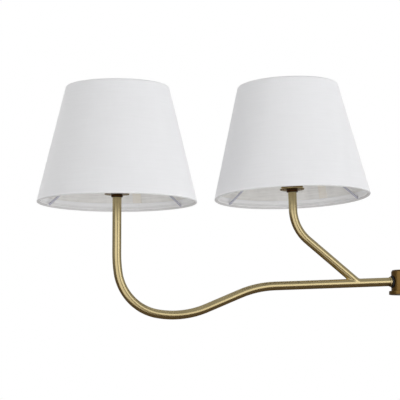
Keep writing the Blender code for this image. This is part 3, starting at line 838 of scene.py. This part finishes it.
class SCONCE_OT_wall_side(bpy.types.Operator):
    """Spin the canopy and turn the hub collar, bracket tube and cap nuts"""

    bl_idname = "sconce.wall_side"
    bl_label = "Wall side"

    def execute(self, context):
        outward = wall_axis(Vector((0, 0, 0)))
        edge = [(51 + 9 * math.cos(a), 15 + 9 * math.sin(a)) for a in arc(90, 0, 10)]
        inner = [(51 + 7.5 * math.cos(a), 15 + 7.5 * math.sin(a)) for a in arc(0, 90, 8)]
        canopy = [(8.4, 24), (46, 24)] + edge + [(60, 1.2), (59.4, 0), (58.5, 0)] + inner + [(8.4, 22.5)]
        turned_piece("canopy_dome", "canopy", canopy, outward, "root", "aged_brass", 0, 160)
        collar = [(8.3, 34.3), (10.4, 34.3), (11.2, 33.6), (11.4, 32.3), (11.4, 30.3), (12.2, 29.6),
                  (12.6, 28.6), (14.6, 27.2), (15.6, 26.2), (16, 24.9), (16, 24.3), (8.3, 24.3)]
        turned_piece("hub_turned_collar", "hub_collar", collar, outward, "root", "aged_brass", 0.12)
        tube = [(8, 75.2), (8, 15), (6, 15), (6, 75.2)]
        turned_piece("bracket_arm_tube", "bracket_tube", tube, outward, "root", "aged_brass", 0.3)
        nut = [(0, 35.3), (1.6, 35.2), (3.4, 34.6), (4.8, 33.4), (5.4, 32), (5.4, 30.6), (4.9, 30.2),
               (4.9, 29.6), (5.5, 29.2), (5.5, 24.9), (5.1, 24.3), (2.3, 24.3), (2.3, 31.5), (0, 31.5)]
        for name in ("front_cap_nut", "rear_cap_nut"):
            low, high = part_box(name)
            turned_piece(name + "_turned", name, nut, wall_axis((low + high) / 2), "root", "aged_brass",
                         0.1, 48)
        return {"FINISHED"}


class SCONCE_OT_dimmer(bpy.types.Operator):
    """Turn and flute the dimmer knob"""

    bl_idname = "sconce.dimmer"
    bl_label = "Dimmer knob"

    def execute(self, context):
        axis = wall_axis(Vector(JOINTS["dimmer_turn"]["pos_m"]))
        low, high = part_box("dimmer_knob")
        base, top = -high.x / MM, -low.x / MM
        profile = [(0, top), (6.6, top), (7.8, top - 0.5), (9, top - 2), (9, base + 0.9), (8.4, base),
                   (3.3, base), (3.3, top - 3.6), (0, top - 3.6)]
        knob = turn_profile("dimmer_knob_fluted", profile, segments=96)
        carve_rim(knob, 8.8, lambda around: 0.35 * (0.5 - 0.5 * math.cos(around * 24)))
        cut_with(knob, box_piece("cutter", (-0.5, 3, top - 0.4), (0.5, 10, top + 1)))
        put(knob, axis)
        lay_uv(knob, turned_chart(axis, 9 * MM), math.tau * 9 * MM)
        finish(knob, "knob", "aged_brass", ["dimmer_knob"])
        nut = [(6.5, 26), (6.5, 24.3), (3.3, 24.3), (3.3, 26.5), (6.0, 26.5)]
        turned_piece("dimmer_turned_nut", "dimmer_bush_nut", nut, axis, "root", "aged_brass", 0.15, 48)
        return {"FINISHED"}


# ---------------------------------------------------------------- lampholders and bulbs


def holder_profile():
    """A skirted holder: a threaded upper half over a flange that the fitter sits on."""
    profile = [(17.6, 62), (19.0, 62)]
    height = 61.2
    while height > 51.5:
        profile += [(19.6, height - 0.6), (19.6, height - 1.1), (19.0, height - 1.6)]
        height -= 1.8
    return profile + [
        (19.6, 49.5), (23.5, 49.5), (23.5, 47.5), (19.6, 47), (19.6, 33), (19.1, 32.4), (19.1, 30.6),
        (19.6, 30), (19.6, 26.9), (17.6, 26.9)]


# Piece, node, slot, rounding of the edges in mm, and profile of (radius, height) in mm.
HOLDER = (
    ("dark_collar", "collar_nut", "dark_bronze", 0.15, (
        (9.3, 3.6), (9.3, 1.3), (8.4, 0.3), (5.3, 0.3), (5.3, 4.0), (8.9, 4.0))),
    ("brass_disc", "drip_disc", "aged_brass", 0.1, (
        (5.3, 6.3), (18.6, 6.3), (19.3, 6.1), (19.6, 5.6), (19.6, 5.0), (19.3, 4.5), (18.6, 4.3),
        (5.3, 4.3))),
    ("holder_cup", "lampholder_cup", "aged_brass", 0.12, (
        (17.5, 26.6), (18.5, 26.6), (18.5, 12), (18.1, 9.6), (17, 7.6), (15.4, 6.6), (5.3, 6.6),
        (5.3, 7.8), (15, 7.8), (16.4, 8.8), (17.2, 10.6), (17.5, 12.6))),
    ("holder_shell", "lampholder_shell", "black_phenolic", 0.1, holder_profile()),
)


class SCONCE_OT_lampholders(bpy.types.Operator):
    """Turn the collar, disc, cup, holder and ring nut of both lights"""

    bl_idname = "sconce.lampholders"
    bl_label = "Lampholders"

    def execute(self, context):
        ring_nut = [(25.5, 58.6), (25.5, 53.4), (24.6, 52.5), (19.9, 52.5), (19.9, 59.5), (24.6, 59.5)]
        for side in SIDES:
            stem = stem_frame(side)
            for name, node, slot, edge, profile in HOLDER:
                turned_piece(f"{side}_{name}", f"{side}_{node}", profile, stem, "arm", slot, edge)
            nut = turn_profile(side + "_ring_nut_gripped", ring_nut, segments=120)
            carve_rim(nut, 25, lambda around: 0.6 * max(0.0, math.cos(around * 30)))
            put(nut, stem)
            finish(nut, "arm", "black_phenolic", [side + "_shade_ring_nut"])
        return {"FINISHED"}


class SCONCE_OT_bulbs(bpy.types.Operator):
    """Turn both bulbs: a threaded base and an opal glass"""

    bl_idname = "sconce.bulbs"
    bl_label = "Bulbs"

    def execute(self, context):
        base = [(0, 64), (13.1, 64), (13.1, 60.5)]
        for turn in range(6):
            height = 59.5 - turn * 3.4
            base += [(13.3, height), (13.3, height - 1.0), (12.3, height - 1.7), (12.3, height - 2.5)]
        base += [(12.0, 39.4), (9, 38.2), (5, 36.2), (4, 35.9), (0, 35.8)]
        glass = [(30 * math.cos(a), 110 + 30 * math.sin(a)) for a in arc(90, -38, 20)]
        glass[0] = (0, 140)
        glass += [(20.6, 86), (17.6, 79.5), (15.4, 73), (14, 67.5), (13.3, 64.3), (0, 64.3)]
        for side in SIDES:
            stem = stem_frame(side)
            turned_piece(side + "_bulb_screw_base", side + "_bulb_base", base, stem, "arm", "zinc_steel",
                         0.1, 64)
            turned_piece(side + "_bulb_opal_glass", side + "_bulb_glass", glass, stem, "arm", "opal_glass",
                         0, 72)
        return {"FINISHED"}


# ---------------------------------------------------------------- shades


def shade_wall(shade, height):
    """Radius of the shade's outside in mm at a height in mm above its lower edge."""
    return (shade.bottom + (shade.top - shade.bottom) * height * MM / shade.height) / MM


def shade_profile(shade, outline):
    """Turn (depth inside the wall, height above the lower edge) into a profile at the stem's end."""
    return [(shade_wall(shade, height) - depth, height - shade.drop / MM) for depth, height in outline]


def rolled_edge():
    """The linen rolled round a wire at the lower edge, from the outside wall to the hem's end."""
    roll = [(0, 3.6), (0.02, 2.4), (0.3, 1.2), (0.9, 0.4), (1.7, 0.0), (2.6, 0.1), (3.4, 0.6), (3.9, 1.5)]
    return roll + [(4.0, 2.6), (3.8, 3.6), (3.2, 4.6), (2.5, 5.6), (1.9, 6.8), (1.4, 8.6), (1.3, 13)]


def cloth_chart(shade, matrix):
    """The cone unrolled: u runs round the shade and v up it, in metres."""
    back = matrix.inverted()
    middle = (shade.bottom + shade.top) / 2

    def chart(point):
        local = back @ point
        around = math.atan2(local.y, local.x) % math.tau
        return around * middle, local.z

    return chart


def skin(side, name, outline, thickness, width=0.0, material="white_fabric", replaces=()):
    """Spin an outline into a thin sheet on a side's shade, thicken it and lay its cloth map.

    width is a strip's width at the lower edge, centred on the seam; without it the sheet goes all round.
    """
    shade = bpy.context.scene.sconce_shade
    sweep, start = math.tau, 0.0
    if width:
        sweep = width / shade.bottom
        start = (shade.left_seam if side == "left" else shade.right_seam) - sweep / 2
    segments = max(6, round(SHADE_SEGMENTS * sweep / math.tau))
    piece = turn_profile(f"{side}_{name}", shade_profile(shade, outline), sweep, False, segments)
    face = max(piece.data.polygons, key=lambda item: math.hypot(item.center.x, item.center.y))
    if face.normal.dot(Vector((face.center.x, face.center.y, 0))) < 0:
        piece.data.flip_normals()
    apply_modifier(piece, "SOLIDIFY", {"thickness": thickness, "offset": 0.0, "use_even_offset": True})
    matrix = stem_frame(side)
    put(piece, matrix @ Matrix.Rotation(start, 4, "Z"))
    lay_uv(piece, cloth_chart(shade, matrix), math.pi * (shade.bottom + shade.top))
    return finish(piece, side + "_shade", "white_fabric", replaces, 60, material)


def straight_wall(high, depth, margin):
    """Points up the cone at a depth inside it, from a margin above its lower edge to one below its top."""
    return [(depth, margin + (high - 2 * margin) * step / WALL_STEPS) for step in range(WALL_STEPS + 1)]


class SCONCE_OT_shades(bpy.types.Operator):
    """Cover both shades: linen rolled over the wires, a styrene liner and the glued seams"""

    bl_idname = "sconce.shades"
    bl_label = "Shades"

    def execute(self, context):
        shade = context.scene.sconce_shade
        high = shade.height / MM
        lower = rolled_edge()
        upper = [(depth, high - height) for depth, height in lower]
        cover = lower[::-1] + straight_wall(high, 0, lower[0][1])[1:-1] + upper
        tuck = [(depth + 0.45 * (depth > 1), height - 0.1) for depth, height in lower[:6:-1]]
        for side in SIDES:
            linen = skin(side, "linen_cover", cover, shade.linen, replaces=[side + "_shade_cover"])
            skin(side, "styrene_liner", straight_wall(high, 0.5, 6), shade.liner, material="liner")
            skin(side, "liner_lap", straight_wall(high, 0.82, 6), shade.liner, shade.inner_lap, "lap")
            lap = skin(side, "linen_lap", straight_wall(high, -0.4, 0.9), shade.linen, shade.outer_lap)
            hem = skin(side, "hem_overlap", tuck, shade.linen, shade.outer_lap)
        return {"FINISHED"}


def fitter(side, shade):
    """A flat ring over the lampholder's flange with three wire arms down to the lower wire."""
    hub = shade.hub / MM
    ring = [(20.0, hub + 1.2), (24.0, hub + 1.2), (24.0, hub - 1.2), (20.0, hub - 1.2)]
    plate = turn_profile(side + "_fitter_frame", ring, segments=96)
    round_edges(plate, 0.4)
    low = 3.0 - shade.drop / MM
    foot = shade_wall(shade, 3.0) - 3.6
    run = (hub - low) / math.sin(shade.arm_rise)
    bend = 12.0
    tangent = bend * math.tan(shade.arm_rise / 2)
    knee = foot - run * math.cos(shade.arm_rise)
    schedule = ((run - tangent, bend, -math.degrees(shade.arm_rise)),)
    first = shade.left_arm if side == "left" else shade.right_arm
    for arm in range(3):
        start = Vector((foot, 0, low)) * MM
        wire, _ = bend_tube("fitter_arm", shade.wire, start, shade.arm_rise, schedule,
                               (knee - tangent - 22.5) * MM, 16)
        cap_ends(wire)
        put(wire, Matrix.Rotation(first + math.tau * arm / 3, 4, "Z"))
        cut_with(plate, wire, "UNION")
    return plate


class SCONCE_OT_shade_frames(bpy.types.Operator):
    """Bend the fitter's arms and turn its ring and the wires at both edges"""

    bl_idname = "sconce.shade_frames"
    bl_label = "Shade frames"

    def execute(self, context):
        shade = context.scene.sconce_shade
        high = shade.height / MM
        for side in SIDES:
            matrix = stem_frame(side)
            body = side + "_shade"
            plate = fitter(side, shade)
            put(plate, matrix)
            finish(plate, body, "frame_wire", [side + "_fitter"], 40)
            for name, height in (("bottom", 2.1), ("top", high - 2.1)):
                radius = shade_wall(shade, height) - 2.1
                circle = [(radius + 1.5 * math.sin(a), height - shade.drop / MM + 1.5 * math.cos(a))
                          for a in arc(0, 330, 11)]
                turned_piece(f"{side}_{name}_wire", f"{side}_{name}_ring", circle, matrix, body,
                             "frame_wire", 0, 120)
        return {"FINISHED"}


def cap_ends(piece):
    """Fill the two open ends of a bar."""
    pick(piece)
    bpy.ops.object.mode_set(mode="EDIT")
    bpy.ops.mesh.select_all(action="DESELECT")
    bpy.ops.mesh.select_non_manifold()
    bpy.ops.mesh.edge_face_add()
    bpy.ops.mesh.select_all(action="SELECT")
    bpy.ops.mesh.normals_make_consistent(inside=False)
    bpy.ops.object.mode_set(mode="OBJECT")


# ---------------------------------------------------------------- parts that keep their shape


class SCONCE_OT_inner_parts(bpy.types.Operator):
    """Give every part that keeps its shape its real finish"""

    bl_idname = "sconce.inner_parts"
    bl_label = "Inner parts"

    def execute(self, context):
        slots = {row["node"]: row["material_slot"] for row in frame["record"]["subparts"]}
        for name, node in frame["nodes"].items():
            if node.hide_render:
                continue
            slot = slots[name]
            key = slot + "_cad" if slot + "_cad" in MATERIALS else slot
            node.data.materials.clear()
            node.data.materials.append(MATERIALS[key])
        return {"FINISHED"}


# ---------------------------------------------------------------- stage


def look_from(stage):
    """The camera's place, from the point it is aimed at."""
    back = Vector((math.sin(stage.azimuth) * math.cos(stage.elevation),
                   -math.cos(stage.azimuth) * math.cos(stage.elevation), math.sin(stage.elevation)))
    return Vector(stage.aim) + back * stage.distance, back


def add_softbox(name, place, target, size, power, seen_by, paint):
    """A soft area light that faces a target; seen_by is gloss for the metal only, cloth, or both."""
    data = bpy.data.lights.new(name, "AREA")
    data.shape = "RECTANGLE"
    data.size, data.size_y = size
    data.energy = power
    data.color = paint
    light = bpy.data.objects.new(name, data)
    light.location = place
    light.rotation_mode = "QUATERNION"
    light.rotation_quaternion = (place - target).to_track_quat("Z", "Y")
    light.visible_camera = False
    light.visible_glossy = seen_by != "cloth"
    light.visible_diffuse = seen_by != "gloss"
    light.visible_transmission = seen_by != "gloss"
    bpy.context.scene.collection.objects.link(light)


def sky(tree, height, levels):
    """Colours that follow the height of the direction, from -1 to 1."""
    ramp = add_node(tree, "ShaderNodeValToRGB", {}, {"Fac": spread(tree, height, -1.0, 1.0, 0.0, 1.0)})
    stops = ramp.color_ramp.elements
    while len(stops) < len(levels):
        stops.new(0.5)
    for stop, (position, paint) in zip(stops, levels):
        stop.position = position
        stop.color = (*paint, 1)
    return ramp.outputs["Color"]


def grey(level):
    return (level, level, level)


def studio_world():
    """White behind the object; brass mirrors a dim room, and cloth gets the backdrop's light."""
    world = bpy.data.worlds.new("studio")
    world.use_nodes = True
    tree = world.node_tree
    tree.nodes.clear()
    heading = add_node(tree, "ShaderNodeTexCoord").outputs["Generated"]
    parts = add_node(tree, "ShaderNodeSeparateXYZ", {}, {"Vector": heading}).outputs
    brown = (0.13, 0.10, 0.07)
    mirrored = sky(tree, parts["Z"], (
        (0.0, brown), (0.42, brown), (0.52, grey(0.3)), (0.62, grey(0.42)), (1.0, grey(0.48))))
    backdrop = sky(tree, parts["Y"], (
        (0.0, grey(0.35)), (0.5, grey(0.4)), (0.7, grey(0.95)), (1.0, grey(1.05))))
    dimmed = blend_colours(tree, spread(tree, parts["X"], -0.9, -0.2, 0.0, 1.0), grey(0.75), backdrop)
    under = sky(tree, parts["Z"], (
        (0.0, grey(0.3)), (0.15, grey(0.35)), (0.28, grey(1.85)), (0.5, grey(1.85))))
    under = blend_colours(tree, spread(tree, parts["Y"], -0.1, 0.3, 0.0, 1.0), under, grey(0.5))
    lit = blend_colours(tree, spread(tree, parts["Z"], -0.3, 0.0, 0.0, 1.0), under, dimmed)
    path = add_node(tree, "ShaderNodeLightPath").outputs
    around = blend_colours(tree, path["Is Glossy Ray"], lit, mirrored)
    seen = blend_colours(tree, path["Is Camera Ray"], around, grey(1.0))
    room = add_node(tree, "ShaderNodeBackground", {"Strength": 1.0}, {"Color": seen})
    add_node(tree, "ShaderNodeOutputWorld", {}, {"Surface": room.outputs[0]})
    bpy.context.scene.world = world


# Name, degrees round from the camera, metres out and up, size, watts, what sees it, colour.
SOFTBOXES = (
    ("left box", -19, 2.2, -0.42, (2.55, 2.9), 21.5, "gloss", (1, 1, 1)),
    ("right box", 40, 2.6, -0.02, (1.25, 1.9), 8.0, "both", (1, 1, 1)),
    ("far right box", 62, 2.6, -0.1, (0.95, 1.7), 6.0, "gloss", (1, 1, 1)),
    ("key", 42, 3.5, 0.6, (2.4, 2.4), 37, "cloth", (0.955, 0.968, 1.0)),
    ("bounce", 0, 0.4, -1.05, (1.6, 1.6), 4, "cloth", (1.0, 0.99, 0.98)),
)


class SCONCE_OT_stage(bpy.types.Operator):
    """Set the camera, the pale floor and the soft studio light"""

    bl_idname = "sconce.stage"
    bl_label = "Stage"

    def execute(self, context):
        stage = context.scene.sconce_stage
        place, back = look_from(stage)
        camera = bpy.data.objects.new("camera", bpy.data.cameras.new("camera"))
        camera.data.lens = stage.lens
        camera.data.sensor_width = 36
        camera.data.clip_start = 0.05
        camera.location = place
        camera.rotation_mode = "QUATERNION"
        camera.rotation_quaternion = back.to_track_quat("Z", "Y")
        context.scene.collection.objects.link(camera)
        context.scene.camera = camera

        deselect_all()
        bpy.ops.mesh.primitive_circle_add(vertices=64, radius=8, fill_type="NGON",
                                          location=(0, 0, -stage.floor_drop))
        floor = new_name("floor")
        bpy.ops.object.transform_apply(location=True, rotation=True, scale=True)
        floor.data.materials.append(MATERIALS["floor"])
        floor.visible_glossy = False
        floor.visible_diffuse = False
        floor.visible_shadow = False

        studio_world()
        aim = Vector(stage.aim)
        level = Vector((back.x, back.y, 0)).normalized()
        for name, turn, reach, rise, size, power, seen_by, paint in SOFTBOXES:
            heading = Matrix.Rotation(math.radians(turn), 3, "Z") @ level
            spot = aim + heading * reach + Vector((0, 0, rise))
            add_softbox(name, spot, aim, size, power, seen_by, paint)
        context.scene.view_settings.view_transform = "Standard"
        return {"FINISHED"}


# ---------------------------------------------------------------- add-on


STEPS = (
    SCONCE_OT_stage,
    SCONCE_OT_arm,
    SCONCE_OT_knuckle,
    SCONCE_OT_wall_side,
    SCONCE_OT_dimmer,
    SCONCE_OT_lampholders,
    SCONCE_OT_bulbs,
    SCONCE_OT_shade_frames,
    SCONCE_OT_shades,
    SCONCE_OT_inner_parts,
)


class SCONCE_PT_panel(bpy.types.Panel):
    """Lists the sconce's pieces and settings"""

    bl_idname = "SCONCE_PT_panel"
    bl_label = "Swing arm sconce"
    bl_space_type = "VIEW_3D"
    bl_region_type = "UI"
    bl_category = "Sconce"

    def draw(self, context):
        for step in STEPS:
            self.layout.operator(step.bl_idname, text=step.bl_label)
        for name, group in SETTINGS.items():
            box = self.layout.box()
            for key in group.__annotations__:
                box.prop(getattr(context.scene, name), key)


CLASSES = (*SETTINGS.values(), *STEPS, SCONCE_PT_panel)


def register():
    for item in CLASSES:
        bpy.utils.register_class(item)
    for name, group in SETTINGS.items():
        setattr(bpy.types.Scene, name, bpy.props.PointerProperty(type=group))


def unregister():
    for name in SETTINGS:
        delattr(bpy.types.Scene, name)
    for item in reversed(CLASSES):
        bpy.utils.unregister_class(item)


def main():
    register()
    MATERIALS.update(make_materials())
    for step in STEPS:
        group, name = step.bl_idname.split(".")
        getattr(getattr(bpy.ops, group), name)()


if __name__ == "__main__":
    main()
